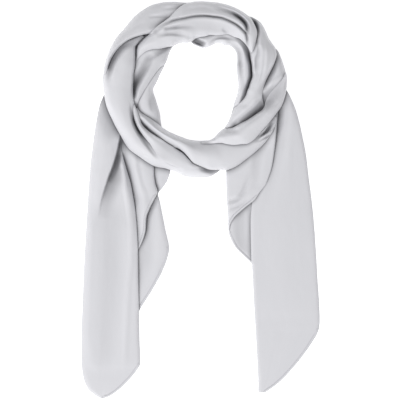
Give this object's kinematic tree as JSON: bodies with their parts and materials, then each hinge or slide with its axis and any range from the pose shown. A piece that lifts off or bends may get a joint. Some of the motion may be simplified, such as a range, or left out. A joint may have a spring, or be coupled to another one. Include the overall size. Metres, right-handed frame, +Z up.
{
  "type": "neckerchief",
  "caption": "Large satin neckerchief, folded on the bias and wound into a two-strand loop with two long tails, laid flat.",
  "frame": {"origin": "on the surface it lies on, under the middle of its outline", "axes": "+Y from the two tails to the loop, +X to the right of someone looking down at it, +Z up from the surface"},
  "size_m": [0.3295, 0.5489, 0.028],
  "materials": {
    "satin": "pale silver-grey satin with a soft sheen"
  },
  "bodies": {
    "root": {"left_tail_back": "satin", "right_tail_back": "satin", "left_tail_middle": "satin", "right_tail_front": "satin", "left_tail_front": "satin", "right_tail_inner": "satin", "loop_inner_right": "satin", "loop_inner_left": "satin", "loop_right_under": "satin", "loop_right_over": "satin", "loop_left_under": "satin", "loop_left_over": "satin", "loop_top_left": "satin", "loop_top": "satin", "loop_front": "satin", "loop_front_fold": "satin", "loop_right_front": "satin"}
  },
  "joints": []
}
